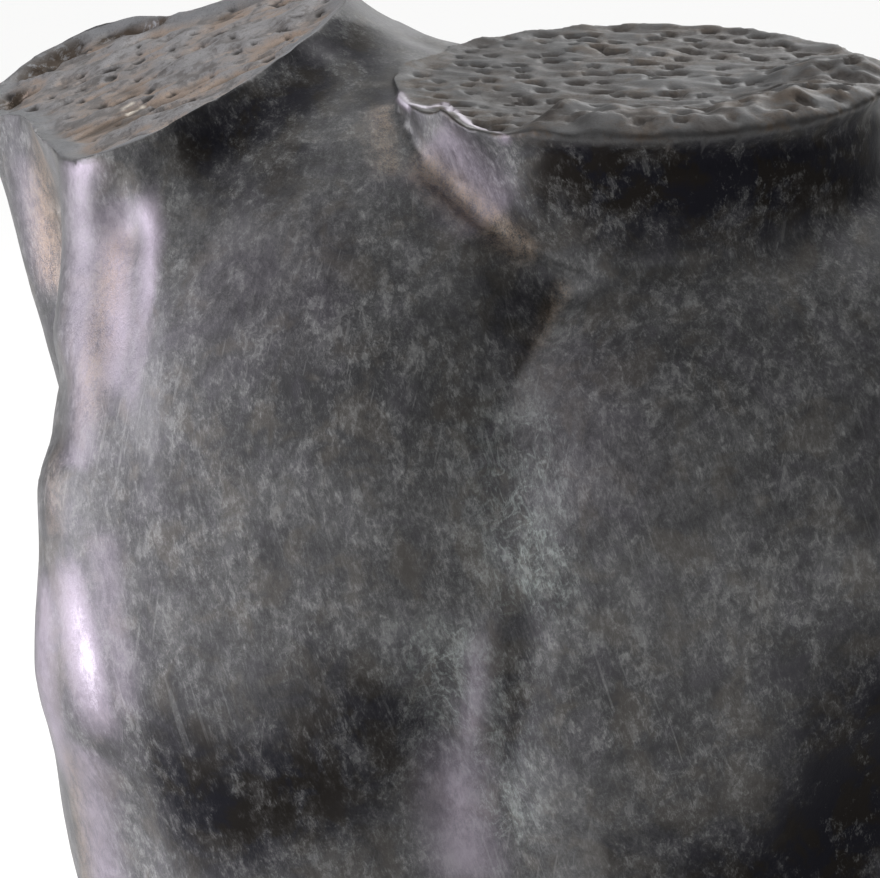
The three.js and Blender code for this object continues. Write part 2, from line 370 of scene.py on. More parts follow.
bm = bmesh.new()
bm.from_mesh(skin.data)
even_out(bm, inside(bm), 3)
rims = [v for e in open_edges(bm) for v in e.verts if on_plane(neck_cut, v) or on_plane(right_cut, v)]
rims = [v.co.copy() for v in rims]
divide_near(bm, rims, RIM_BAND)
tree = BVHTree.FromBMesh(bm)
for line in (NECK_CREASE, BREASTBONE[:5]):
    marks = [seen_at(tree, pixel)[0] for pixel in line]
    divide_near(bm, [a.lerp(b, t / 8) for a, b in zip(marks, marks[1:]) for t in range(9)], CREASE_BAND)
even_out(bm, inside(bm), 2)
lids = bmesh.ops.holes_fill(bm, edges=open_edges(bm), sides=0)["faces"]
bmesh.ops.recalc_face_normals(bm, faces=bm.faces)
print("rims closed:", len(lids), " edges not shared by two faces:", loose_edges(bm))
for cut, width in ((neck_cut, NECK_DICE), (right_cut, SHOULDER_DICE), (left_cut, COARSE_DICE)):
    wide = [f for f in bm.faces if len(f.verts) > LID_CORNERS]
    lid = min(wide, key=lambda f: (f.calc_center_median() - cut[0]).length)
    part = parted(bm, {f for v in lid.verts for f in v.link_faces})
    dice(part, max(part.faces, key=lambda f: len(f.verts)), cut, width)
    joined(bm, part)
bmesh.ops.triangulate(bm, faces=[f for f in bm.faces if len(f.verts) > 4])
face_mark = bm.verts.layers.float.new("cut_face")
rim_mark = bm.verts.layers.float.new("rim")
for cut in (neck_cut, right_cut, left_cut):
    level = [f for f in bm.faces if f.normal.dot(cut[1]) > 0.9995]
    cut_faces = {f for f in level if all(on_plane(cut, v) for v in f.verts)}
    for v in {v for f in cut_faces for v in f.verts}:
        v[face_mark] = 1
        v[rim_mark] = any(f not in cut_faces for f in v.link_faces)
print("edges not shared by two faces:", loose_edges(bm))
bm.to_mesh(skin.data)
bm.free()
print("with diced cuts:", triangles(skin), "triangles")

# %% [markdown]
# ## Strokes
#
# A sculptor works a surface with strokes of a tool. So does this script: a stroke follows a path over the
# skin and pushes it in or draws it out, most on the path and less to both sides. Its path is given as it is
# seen in the picture, and a ray from the camera finds where that is on the skin.

# %% Strokes on the skin
STROKE_STEP = 1 * MM


class Skin:
    """The torso's vertices, which strokes move and tint."""

    def __init__(self, obj):
        self.mesh = obj.data
        self.co = coordinates(self.mesh)
        self.tints = {name: self.marked(name) for name in ("cut_face", "rim")}
        self.side = self.tints["cut_face"] < 0.5
        self.refresh()
        self.retrace()

    def marked(self, name):
        """The mesh's numbers of that name."""
        values = np.zeros(len(self.co))
        self.mesh.attributes[name].data.foreach_get("value", values)
        return values

    def refresh(self):
        """Gives the mesh the vertices' new places, and takes its normals."""
        self.mesh.vertices.foreach_set("co", self.co.ravel())
        self.mesh.update()
        self.normal = coordinates(self.mesh, "normal")

    def retrace(self):
        """Makes rays meet the skin as it is now."""
        faces = [tuple(p.vertices) for p in self.mesh.polygons]
        self.tree = BVHTree.FromPolygons(self.co.tolist(), faces)

    def under(self, pixel):
        """The place and normal of the skin under a pixel."""
        place, normal = seen_at(self.tree, pixel)
        return np.array(place), np.array(normal)

    def ease(self, chosen, times):
        """Evens out the vertices with the chosen numbers."""
        bm = bmesh.new()
        bm.from_mesh(self.mesh)
        bm.verts.ensure_lookup_table()
        even_out(bm, [bm.verts[i] for i in chosen], times)
        bm.to_mesh(self.mesh)
        bm.free()
        self.co = coordinates(self.mesh)
        self.refresh()

    def path(self, pixels):
        """Places and normals along a path of pixels, about a millimetre apart."""
        marks = [self.under(p) for p in pixels]
        places, normals = [], []
        for (a, na), (b, nb) in zip(marks, marks[1:]):
            count = max(2, int(np.linalg.norm(b - a) / STROKE_STEP))
            for t in np.linspace(0, 1, count, endpoint=False):
                places.append(a + (b - a) * t)
                normals.append(na + (nb - na) * t)
        return np.array(places + [marks[-1][0]]), np.array(normals + [marks[-1][1]])

    def reach(self, pixels, to_right, to_left, sharp=False, ends=0.15):
        """How strongly a stroke with those half widths acts on the vertices that it meets, from 0 to 1."""
        places, normals = self.path(pixels)
        widest = max(to_right, to_left)
        low, high = places.min(0) - widest, places.max(0) + widest
        met = np.flatnonzero(((self.co > low) & (self.co < high)).all(1))
        apart = np.linalg.norm(self.co[met, None] - places[None], axis=2)
        nearest = apart.argmin(1)
        along = nearest / (len(places) - 1)
        tangent = np.gradient(places, axis=0)[nearest]
        side = np.einsum("ij,ij->i", self.co[met] - places[nearest], np.cross(tangent, normals[nearest]))
        width = np.where(side > 0, to_right, to_left)
        share = np.clip(1 - apart[np.arange(len(met)), nearest] / width, 0, 1)
        facing = np.einsum("ij,ij->i", self.normal[met], normals[nearest]) > 0
        weight = share ** 1.5 if sharp else share * share * (3 - 2 * share)
        weight = weight * step(along, -0.001, ends) * step(1 - along, -0.001, ends) * facing
        return met, weight, along

    def stroke(
        self, pixels, rise, to_right, to_left, sharp=False, ends=0.15, fade=(1, 1), on_cut=False,
    ):
        """Draws the smooth skin or a cut out along a path, or pushes it in where rise is under 0."""
        met, weight, along = self.reach(pixels, to_right, to_left, sharp, ends)
        strength = (fade[0] + (fade[1] - fade[0]) * along) * (self.side[met] != on_cut)
        self.co[met] += self.normal[met] * (rise * weight * strength)[:, None]
        self.refresh()

    def press(self, amount, pixel, thickness):
        """Presses the skin away from the camera, by an amount for each place in the picture."""
        seen = self.co - np.array(camera_place)
        depth = -seen @ np.array(back)
        x = PICTURE_WIDTH / 2 + focal_pixels * (seen @ np.array(right)) / depth
        y = PICTURE_HEIGHT / 2 - focal_pixels * (seen @ np.array(up)) / depth
        behind = (self.under(pixel)[0] - self.co) @ np.array(back)
        pressed = amount(x, y) * (1 - step(behind, thickness, 3 * thickness)) * self.side
        self.co -= np.outer(pressed, np.array(back))
        self.refresh()
        self.retrace()

    def tint(self, name, pixels, to_right, to_left, strength=1, ends=0.15):
        """Marks the skin along a path for a material to read. The strength may change along the path."""
        met, weight, along = self.reach(pixels, to_right, to_left, False, ends)
        if not isinstance(strength, (int, float)):
            marks = np.array([self.under(p)[0] for p in pixels])
            far = np.cumsum([0, *np.linalg.norm(np.diff(marks, axis=0), axis=1)])
            strength = np.interp(along * far[-1], far, strength)
        values = self.tints.setdefault(name, np.zeros(len(self.co)))
        values[met] = np.maximum(values[met], weight * strength)


torso = Skin(skin)
print("skin ready:", len(torso.co), "vertices, of them on the cuts", int((~torso.side).sum()))

# %% [markdown]
# ## The modelling of the chest
#
# The breastbone's groove is a sharp valley at the pit of the neck and fades out downwards. Its bank on the
# figure's right is long and faces away from the light, so it is dark. Lower down, between the breast
# muscles, a narrow ridge catches the light. The raised arm draws the edge of the breast muscle up into a
# column with a shallow hollow in it.

# %% Grooves, ridges and folds
LOWER_VALLEY = [(452, 600), (447, 680), (440, 770), (436, 860)]
LOWER_RIDGE = [(489, 612), (482, 680), (470, 735), (458, 782)]
LOWER_HOLLOW = [(522, 580), (526, 640), (522, 700), (512, 748)]
NECK_FACET_EDGE = [(512, 152), (530, 200), (550, 250)]
NECK_FACET = [(432, 126), (465, 165), (505, 222)]
COLUMN_HOLLOW = [(106, 160), (114, 195), (121, 255)]
COLUMN_RIDGE = [(148, 188), (156, 235), (149, 295)]
SIDE_HOLLOW = [(56, 325), (48, 380), (44, 430), (43, 490)]
ARMPIT = [(34, 150), (40, 220), (52, 290)]
# Each row: the path, how far it draws the skin out and its half widths to the figure's right and left, all
# in mm, and the share of the path over which an end fades.
STROKES = [
    (LOWER_VALLEY, -1.4, 12, 8, 0.3),
    (LOWER_RIDGE, 1.3, 7, 7, 0.3),
    (LOWER_HOLLOW, -1.2, 8, 12, 0.4),
    (NECK_FACET, -1.4, 16, 16, 0.3),
    (NECK_FACET_EDGE, 1.6, 9, 9, 0.3),
    (NECK_CREASE, -1.1, 3.5, 3.5, 0.3),
    (COLUMN_HOLLOW, -1.8, 9, 9, 0.3),
    (COLUMN_RIDGE, 0.8, 6, 4, 0.4),
    (SIDE_HOLLOW, -4.5, 28, 24, 0.4),
    (ARMPIT, -0.4, 10, 8, 0.3),
]
COLUMN_MIDDLE = (100, 300)
COLUMN_TURN = 158
COLUMN_WIDTH = 58
COLUMN_TOP = (185, 245)
COLUMN_FOOT = (300, 560)
COLUMN_TURN_DEPTH = 7 * MM
COLUMN_THICKNESS = 30 * MM


def column_turned(x, y):
    """How far back the skin goes where the breast muscle turns into the column, left of the turn."""
    turn = (COLUMN_TURN - x) / COLUMN_WIDTH
    turn = np.clip((turn + np.hypot(turn, 0.1)) / 2, 0, 1)
    turn = 1 - (1 - turn) ** 1.7
    return COLUMN_TURN_DEPTH * turn * step(y, *COLUMN_TOP) * (1 - step(y, *COLUMN_FOOT)) * (x > -30)


before = torso.co.copy()
torso.press(column_turned, COLUMN_MIDDLE, COLUMN_THICKNESS)
torso.stroke(BREASTBONE, -5 * MM, 26 * MM, 11 * MM, sharp=True, ends=0.1, fade=(1.1, 0))
for path, rise, to_right, to_left, ends in STROKES:
    torso.stroke(path, rise * MM, to_right * MM, to_left * MM, ends=ends)
torso.ease(torso.reach(NECK_CREASE + [(590, 268)], 7 * MM, 7 * MM, ends=0.01)[0], 3)
moved = np.linalg.norm(torso.co - before, axis=1)
print("the strokes moved the skin by up to", round(moved.max() / MM, 1), "mm")

# %% [markdown]
# ## Rough cuts
#
# Pits could be a bump in the material, but the cuts are seen almost edge on, where a bump looks painted. So
# they are modelled. A regular pattern of pits would look stamped, so each one gets its own place, size,
# outline and depth by chance. Between the pits the surface waves, in long folds with sharp crests. On the
# right shoulder's cut brown crusts sit in hollows near the rim, and two scratches show bare metal.

# %% Pits and waves
WAVE = 18 * MM
# Further off lie vertices of another cut that happen to be level with this one.
CUT_REACH = 95 * MM


def in_plane(cut, points):
    """Places near a cut as two coordinates in its plane."""
    offset = points - np.array(cut[0])
    return np.stack([offset @ np.array(axis) for axis in plane_axes(cut)], axis=1)


def pit_middles(flat, count, spacing, random):
    """Chooses places for pits. No two are much closer than the spacing."""
    middles = []
    for candidate in random.permutation(flat):
        apart = spacing * random.uniform(0.5, 1.5)
        if all(np.hypot(*(candidate - middle)) > apart for middle in middles):
            middles.append(candidate)
        if len(middles) == count:
            break
    return middles


def pit_depths(flat, count, spacing, half_width, seed):
    """The depth of ragged pits at places of a plane, from 0 to 1. Wide pits are deeper than small ones."""
    random = np.random.default_rng(seed)
    depth = np.zeros(len(flat))
    for middle in pit_middles(flat, count, spacing, random):
        size = half_width * random.uniform(0.4, 1)
        turn, stretch = random.uniform(-0.6, 0.6), random.uniform(1.0, 1.8)
        offset = flat - middle
        along = offset[:, 0] * math.cos(turn) + offset[:, 1] * math.sin(turn)
        across = offset[:, 1] * math.cos(turn) - offset[:, 0] * math.sin(turn)
        bearing = np.arctan2(across, along)
        ragged = 1 + 0.16 * np.sin(3 * bearing + random.uniform(0, 6))
        ragged += 0.1 * np.sin(5 * bearing + random.uniform(0, 6))
        far = np.hypot(along / stretch, across) * ragged / size
        depth = np.maximum(depth, np.clip(1 - far ** 3, 0, 1) * (0.35 + 0.65 * size / half_width))
    return depth


def wax_wave(place, stretch):
    """The slow waves and sharp crests at a place of a cut's plane, from 0 on a crest to 1."""
    place = Vector((place[0] / stretch, place[1], 0)) / WAVE
    slow = 0.5 + 0.5 * noise.fractal(place, 0.9, 2.1, 4)
    crest = max(0, 1 - abs(noise.noise(place * 2.2 + Vector((3, 1, 7)))) * 4)
    ripple = noise.noise(place * 5 + Vector((8, 2, 4)))
    return min(1, max(0, 0.8 * slow + 0.25 - 0.25 * crest + 0.16 * ripple))


def rim_distance(chosen):
    """How far those vertices are from the nearest rim."""
    rim = np.flatnonzero(torso.tints["rim"] > 0.5)
    tree = KDTree(len(rim))
    for i in rim:
        tree.insert(torso.co[i], int(i))
    tree.balance()
    return np.array([tree.find(torso.co[i])[2] for i in chosen])


def keep(name, chosen, values):
    """Notes numbers on some vertices for the material."""
    torso.tints.setdefault(name, np.zeros(len(torso.co)))[chosen] = values


def roughen(cut, pit_depth, wave_depth, stretch, count, spacing, half_width, clean):
    """Sinks pits and waves into a cut, inside a clean band at its rim. Nothing rises over its plane."""
    near = np.linalg.norm(torso.co - np.array(cut[0]), axis=1) < CUT_REACH
    chosen = np.flatnonzero(~torso.side & near & (np.abs(height_over(cut, torso.co)) < LEVEL))
    from_rim = rim_distance(chosen)
    flat = in_plane(cut, torso.co[chosen])
    pits = pit_depths(flat, count, spacing, half_width, count) * step(from_rim, 0.3 * clean, clean)
    waves = np.array([wax_wave(place, stretch) for place in flat])
    sunk = waves * wave_depth * (0.3 + 0.7 * step(from_rim, 0, clean)) + pits * pit_depth
    keep("pit", chosen, pits)
    keep("hollow", chosen, waves)
    keep("near_rim", chosen, 1 - step(from_rim, 0.5 * clean, 1.3 * clean))
    torso.co[chosen] -= np.outer(sunk, np.array(cut[1]))
    torso.refresh()
    print("roughened", len(chosen), "vertices, deepest", round(sunk.max() / MM, 1), "mm")
    return chosen


roughen(
    neck_cut, pit_depth=1.8 * MM, wave_depth=1.7 * MM, stretch=2.4,
    count=190, spacing=4.8 * MM, half_width=2.2 * MM, clean=5 * MM,
)
weathered = roughen(
    right_cut, pit_depth=1.5 * MM, wave_depth=3.6 * MM, stretch=2.4,
    count=130, spacing=3.6 * MM, half_width=1.9 * MM, clean=6 * MM,
)
keep("weathered", weathered, 1)
torso.retrace()

# %% Brown crusts and bare scratches
# Each row: the path in the picture, and how far the cut sinks there and the crust's half width in mm.
CRUSTS = [
    ([(26, 80), (45, 66), (65, 56), (90, 46)], 3.2, 8),
    ([(2, 110), (14, 102), (30, 96)], 2.6, 6),
    ([(88, 45), (130, 32), (172, 18)], 1.8, 3.5),
]
BARE_SCRATCHES = [
    [(118, 112), (126, 107), (134, 102)],
    [(124, 116), (134, 111), (147, 105)],
]
SCRATCH_WIDTH = 1.3 * MM

for crust, sink, width in CRUSTS:
    torso.stroke(crust, -sink * MM, width * MM, width * MM, ends=0.3, on_cut=True)
    torso.tint("crust", crust, 1.5 * width * MM, 1.5 * width * MM, 1.6, 0.2)
for scratch in BARE_SCRATCHES:
    torso.tint("bare", scratch, SCRATCH_WIDTH, SCRATCH_WIDTH, 1, 0.1)
print("crusts:", len(CRUSTS), " scratches:", len(BARE_SCRATCHES))

# %% The left shoulder's cut
roughen(
    left_cut, pit_depth=1.6 * MM, wave_depth=2.0 * MM, stretch=1.5,
    count=60, spacing=8 * MM, half_width=4 * MM, clean=5 * MM,
)

# %% [markdown]
# ## The rolled lip
#
# At the front of the neck the wax was pressed over the edge of the cut, and froze there as a lumpy roll
# with an undercut below it. A bevel would be too even. Here the rim is drawn outwards and the disc rises to
# a crest behind it, both times slow noise, which gives a roll that swells and thins. The rest of the rim
# only wanders a little, apart from one scallop that stands up where the rim shines.

# %% The neck's lip
LIP_OUT = 1.3 * MM
LIP_RISE = 4.4 * MM
LIP_CREST = 8 * MM
LIP_END = 42 * MM
LIP_UNDERCUT = 1.6 * MM
LIP_TURNS = (-31, 118)
LUMP = 14 * MM
SMALL_LUMP = 5 * MM
ROLL_HEIGHT = 1.8 * MM
ROLL_DEPTH = 5 * MM
UNDERCUT_AT = 5 * MM
UNDERCUT_HEIGHT = 3 * MM
RIM_RISE = 1.8 * MM
RIM_RISE_FADE = 5 * MM
RIM_WANDER = 1.1 * MM
WANDER = 8 * MM
WANDER_FADE = 6 * MM
NECK_REACH = 80 * MM
SCALLOP = (440, 121)
SCALLOP_RISE = 3.2 * MM
SCALLOP_REACH = 11 * MM

normal = np.array(neck_cut[1])
depth = -height_over(neck_cut, torso.co)
outward = torso.co - np.array(neck_cut[0]) + np.outer(depth, normal)
radius = np.linalg.norm(outward, axis=1)
outward /= radius[:, None]
front = np.array(back) - normal * back.dot(neck_cut[1])
turn = np.degrees(np.arctan2(outward @ np.array(right), outward @ front / np.linalg.norm(front)))
rolled = step(turn, LIP_TURNS[0] - 6, LIP_TURNS[0] + 6) * (1 - step(turn, LIP_TURNS[1] - 35, LIP_TURNS[1]))
near = np.flatnonzero((depth > -2.5 * MM) & (depth < 24 * MM) & (radius < NECK_REACH))
inner = rim_distance(near)
lip = np.zeros(len(torso.co))
for i, from_rim in zip(near, inner):
    place = Vector(torso.co[i])
    lumps = 1 + 0.7 * noise.noise(place / LUMP) + 0.35 * noise.noise(place / SMALL_LUMP)
    wander = RIM_WANDER * noise.noise(place / WANDER + Vector((2, 5, 1)))
    if torso.side[i]:
        roll = LIP_OUT * lumps * math.exp(-((depth[i] / ROLL_HEIGHT) ** 2))
        undercut = LIP_UNDERCUT * math.exp(-(((depth[i] - UNDERCUT_AT) / UNDERCUT_HEIGHT) ** 2))
        rise = RIM_RISE * max(0, 1 - depth[i] / RIM_RISE_FADE)
        reach = max(0, 1 - depth[i] / WANDER_FADE)
        lip[i] = rolled[i] * (1 - float(step(depth[i], 0.5 * MM, 2.5 * MM)))
    else:
        roll = LIP_OUT * max(0, 1 - from_rim / ROLL_DEPTH)
        undercut = 0
        rise = RIM_RISE + LIP_RISE * lumps * math.sin(math.pi / 2 * min(1, from_rim / LIP_CREST))
        rise *= 1 - float(step(from_rim, LIP_CREST, LIP_END))
        reach = max(0, 1 - from_rim / WANDER_FADE)
    torso.co[i] += (outward[i] * (roll - undercut) + normal * rise) * rolled[i]
    torso.co[i] += (outward[i] + 0.7 * normal) * (wander * reach)
torso.tints["cut_face"] = np.maximum(torso.tints["cut_face"], lip)
torso.refresh()
at_rim = rim_distance(near)
torso.ease(near[at_rim < 4 * MM], 3)
scallop = np.linalg.norm(torso.co - torso.under(SCALLOP)[0], axis=1) / SCALLOP_REACH
torso.co += np.outer(SCALLOP_RISE * np.clip(1 - scallop, 0, 1) ** 1.5, normal)
torso.refresh()
torso.retrace()
highest = height_over(neck_cut, torso.co[near]).max()
rolled_count = int((rolled[near] > 0.5).sum())
print("rolled", rolled_count, "vertices, highest", round(highest / MM, 1), "mm over the cut")

# %% [markdown]
# ## The unevenness of a hand
#
# A subdivided skin is too even, so its reflections look ruled. Bronze keeps the swells and ripples of the
# wax, tenths of a millimetre high, and noise along the normals gives both. The last two millimetres over
# the plinth stay as they are, so that the thighs end flat.

# %% Swells and ripples
SWELL = 34 * MM
SWELL_RISE = 0.45 * MM
RIPPLE = 9 * MM
RIPPLE_RISE = 0.12 * MM
EVEN_FOOT = 2 * MM

uneven = np.zeros(len(torso.co))
for i in np.flatnonzero(torso.side & (torso.co[:, 2] > torso_low.z + EVEN_FOOT)):
    place = Vector(torso.co[i])
    uneven[i] = SWELL_RISE * noise.noise(place / SWELL) + RIPPLE_RISE * noise.noise(place / RIPPLE)
torso.co += torso.normal * uneven[:, None]
torso.refresh()
print("uneven by", round(uneven.min() / MM, 2), "to", round(uneven.max() / MM, 2), "mm")

# %% [markdown]
# ## Where the patina differs, and painted light and shade
#
# Handling thins the patina on the figure's right side: there it is lilac-grey and smoother. On top of that,
# highlights are painted into it where the softboxes' reflections fall. Tan dust sits in the neck's crease
# and in the hollow under the arm. Pale curls of verdigris follow the breastbone, and painted shade, nearly
# black, lies in the shaded hollows and under the overhangs. Each of these is a number on every vertex, which
# the material reads.

# %% Marks for the material
# Each row: the path in the picture and the half widths in mm to the figure's right and left. After them may
# come the strength, or one for each point of the path, and the share of the path over which an end fades.
# Rubbed lilac patina and painted highlight: the column, the spot on the breast muscle, the neck's facet and
# the ridge below the breastbone are made lighter where the light falls on them.
RUBBED_AND_HIGHLIGHT_MARKS = [
    (
        [(80, 158), (80, 190), (82, 250), (84, 320), (80, 400), (74, 470)],
        18, 13, (1.2, 0.5, 0.5, 0.55, 0.5, 0.4), 0.03,
    ),
    ([(112, 180), (116, 250), (118, 330), (108, 410)], 13, 11, (0.55, 0.8, 0.85, 0.4)),
    ([(138, 178), *COLUMN_RIDGE, (140, 360), (128, 430)], 11, 4, (0.5, 1, 1, 0.75, 0.4, 0.2)),
    ([(66, 545), (78, 610), (88, 660), (98, 710), (116, 750)], 14, 9, (0.4, 1.2, 1.5, 1.3, 0.6)),
    ([(106, 520), (110, 610), (120, 660), (128, 730)], 12, 8, 0.45),
    ([(44, 560), (42, 640), (52, 720), (66, 790)], 10, 12, 0.8),
    ([(84, 740), (94, 820), (104, 880), (110, 920)], 14, 16, 0.7, 0.1),
    ([(185, 255), (260, 290), (370, 285)], 34, 34, 0.12, 0.2),
    (NECK_FACET, 18, 16, 0.7),
    ([(20, 150), (32, 220), (46, 300)], 14, 14, 0.35),
    ([(487, 600), (476, 690), (458, 790)], 6, 6, (0.2, 0.6, 0.8), 0.3),
    ([(465, 720), (455, 790), (470, 860), (480, 900)], 16, 14, (0.4, 1, 0.8, 0.6), 0.2),
    ([(570, 310), (566, 380), (580, 460), (598, 560)], 24, 30, 0.15, 0.3),
]
DUST_MARKS = [
    ([(408, 150), (440, 178), (490, 220), (545, 262)], 9, 7, 0.9),
    ([(34, 128), (44, 200), (52, 300)], 12, 12),
    ([(568, 277), (556, 300), (540, 332), (520, 370)], 4, 4, (1, 0.9, 0.6, 0.2)),
    ([(120, 215), (118, 250), (104, 310), (92, 370), (88, 440)], 9, 9, (0.6, 0.8, 0.55, 0.5, 0.3)),
    ([(388, 100), (388, 140), (396, 180)], 8, 3, 0.7),
    ([(58, 440), (52, 490), (50, 540)], 6, 9, 0.4),
    ([(66, 740), (74, 800), (84, 870), (92, 930)], 6, 9, 0.55),
]
VERDIGRIS_MARKS = [
    ([(545, 380), (530, 480), (540, 580), (560, 640)], 26, 16, (0.5, 1, 1, 0.7)),
    ([(440, 600), (450, 680), (480, 780), (490, 870)], 20, 28, 0.9),
]
# Painted shade, nearly black: under the neck's lip, under the right shoulder's cut, under the breast
# muscles, in the lower right corner where the chest turns away, in the hollow beside the lower ridge, on the
# breastbone's dark bank and down the far right side.
PAINTED_SHADE_MARKS = [
    (
        [(519, 165), (560, 176), (620, 182), (760, 180), (868, 155), (905, 185)],
        28, 28, (0.8, 1.25, 1.4, 1.4, 1.3, 1), 0.06,
    ),
    ([(560, 215), (600, 225), (700, 222), (800, 215)], 20, 20, 0.95),
    ([(158, 160), (230, 135), (290, 105), (335, 50)], 22, 22, (1, 1.15, 1.15, 0.9)),
    ([(200, 180), (270, 165), (300, 130)], 24, 24, 0.8),
    ([(345, 18), (365, 60), (375, 110)], 16, 16, (1.2, 0.9, 0.6), 0.05),
    (
        [(140, 790), (190, 800), (240, 810), (300, 790), (360, 740), (420, 680)],
        44, 44, (0.9, 1.2, 1.2, 1.15, 1, 0.8), 0.1,
    ),
    (
        [(600, 900), (700, 893), (800, 870), (865, 800), (895, 700), (900, 600)],
        50, 50, (0.8, 1, 1.25, 1.7, 1.2, 0.2), 0.03,
    ),
    ([(516, 570), (518, 640), (514, 710), (504, 780)], 11, 11, (0.4, 0.7, 0.95, 0.8), 0.1),
    ([(905, 230), (895, 400), (885, 560)], 30, 30, 0.35, 0.1),
    (BREASTBONE, 42, 1.5, (0.6, 0.8, 0.85, 0.8, 0.5, 0.2), 0.1),
]
# A painted highlight along the neck cut's rim at the left front, where the rim catches the light.
PAINTED_RIM_HIGHLIGHT_MARKS = [
    (
        [(398, 92), (406, 104), (424, 107), (445, 106), (464, 119), (484, 129), (514, 137)],
        2.4, 2.4, 1, 0.05,
    ),
]
PAINTED_RIM_HIGHLIGHT_STRENGTH = 2.2

for name, rows in (
    ("rubbed_and_highlight", RUBBED_AND_HIGHLIGHT_MARKS), ("dust", DUST_MARKS), ("verdigris", VERDIGRIS_MARKS), ("painted_shade", PAINTED_SHADE_MARKS),
    ("painted_rim_highlight", PAINTED_RIM_HIGHLIGHT_MARKS),
):
    for pixels, to_right, to_left, *how in rows:
        torso.tint(name, pixels, to_right * MM, to_left * MM, *how)
# Where the rim highlight is painted, the cut's colour gives way to the rubbed lilac and the painted
# highlight.
torso.tints["cut_face"] *= 1 - torso.tints["painted_rim_highlight"]
torso.tints["rubbed_and_highlight"] = np.maximum(torso.tints["rubbed_and_highlight"], PAINTED_RIM_HIGHLIGHT_STRENGTH * torso.tints["painted_rim_highlight"])
# The painted shade stays off the cuts.
torso.tints["painted_shade"] *= 1 - torso.tints["cut_face"]

for name, values in torso.tints.items():
    if name not in skin.data.attributes:
        skin.data.attributes.new(name, "FLOAT", "POINT")
    skin.data.attributes[name].data.foreach_set("value", values)
    print(name, "marks", int((values > 0.3).sum()), "vertices")
skin.data.polygons.foreach_set("use_smooth", [True] * len(skin.data.polygons))
skin.data.update()

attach(skin, "root")
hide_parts("torso")

# %% [markdown]
# ## The plinth
#
# The picture doesn't show what the torso stands on. A plain low block of the same bronze is the usual
# choice. A sand cast block is never as sharp and flat as a drawn one, so its edges are rounded, and its
# faces dip by up to a third of a millimetre. The block starts as a cube, because a bevel turns out evenly
# on a form with only twelve edges.

# %% Rounded block
EDGE_RADIUS = 3 * MM
EDGE_STEPS = 5
FACE_DIVISIONS = 40
LONG_EDGE = 20 * MM
CAST_DIP = 0.35 * MM
DIP_WIDTH = 45 * MM

bm = bmesh.new()
bmesh.ops.create_cube(bm, size=1)
plinth_middle = (plinth_low + plinth_high) / 2
for v in bm.verts:
    v.co = plinth_middle + Vector(a * b for a, b in zip(v.co, plinth_high - plinth_low))
bmesh.ops.bevel(
    bm, geom=list(bm.edges), offset=EDGE_RADIUS, affect="EDGES", segments=EDGE_STEPS, profile=0.5,
    material=-1,
)
long_edges = [e for e in bm.edges if e.calc_length() > LONG_EDGE]
bmesh.ops.subdivide_edges(bm, edges=long_edges, cuts=FACE_DIVISIONS, use_grid_fill=True)
bmesh.ops.recalc_face_normals(bm, faces=bm.faces)
bm.normal_update()
dips = []
for v in bm.verts:
    on_underside = v.co.z < plinth_low.z + EDGE_RADIUS
    dip = 0 if on_underside else CAST_DIP * (0.5 + 0.5 * noise.fractal(v.co / DIP_WIDTH, 0.9, 2.1, 3))
    dips.append((v, v.normal * min(CAST_DIP, max(0, dip))))
for v, dip in dips:
    v.co -= dip
block = placed("plinth_block", bpy.data.meshes.new("plinth_block"))
bm.to_mesh(block.data)
print("plinth:", len(bm.faces), "faces, edges not shared by two faces:", loose_edges(bm))
bm.free()
block.data.polygons.foreach_set("use_smooth", [True] * len(block.data.polygons))

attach(block, "root")
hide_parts("plinth")

# %% [markdown]
# ## The patina
#
# A patina is a thin mineral crust on the metal, brushed and waxed. It could be a plain dark metal, but then
# it would look like new steel. Here a metal shader gets a mottled dark colour from noise at several sizes:
# slow clouds, spots with ragged edges, thin curling lines, and fine slanting brush marks. The same patterns
# drive the roughness and a small bump. The marks made above then lay the painted shade, the dust, the
# verdigris and the rubbed metal with its painted highlights over it.

# %% Node helpers
def new_material(name):
    """A material with only its shader and output, and the shader."""
    material = bpy.data.materials.new(name)
    material.use_nodes = True
    return material, material.node_tree, material.node_tree.nodes["Principled BSDF"]


def feed(tree, node, inputs):
    """Gives a node's inputs their values, or links them to another node's socket."""
    for socket, value in dict(inputs).items():
        if isinstance(value, bpy.types.NodeSocket):
            tree.links.new(value, node.inputs[socket])
        else:
            node.inputs[socket].default_value = value


def add(tree, kind, inputs=(), **settings):
    """A new node of that kind, with its inputs and settings."""
    node = tree.nodes.new(kind)
    for key, value in settings.items():
        setattr(node, key, value)
    feed(tree, node, inputs)
    return node


def cloud(tree, place, scale, detail=6, roughness=0.6, distortion=0.0, stretch=(1, 1, 1)):
    """Noise of that scale, from 0 to 1."""
    mapping = add(tree, "ShaderNodeMapping", {"Vector": place, "Scale": stretch})
    return add(tree, "ShaderNodeTexNoise", {
        "Vector": mapping.outputs[0], "Scale": scale, "Detail": detail, "Roughness": roughness,
        "Distortion": distortion,
    }).outputs["Fac"]


def between(tree, value, low, high, to_low=0.0, to_high=1.0):
    """A value spread smoothly from one range to another."""
    return add(tree, "ShaderNodeMapRange", {
        "Value": value, "From Min": low, "From Max": high, "To Min": to_low, "To Max": to_high,
    }, interpolation_type="SMOOTHSTEP").outputs[0]


def times(tree, a, b):
    """The product of two values."""
    return add(tree, "ShaderNodeMath", {0: a, 1: b}, operation="MULTIPLY").outputs[0]


def plus(tree, a, b):
    """The sum of two values."""
    return add(tree, "ShaderNodeMath", {0: a, 1: b}, operation="ADD").outputs[0]


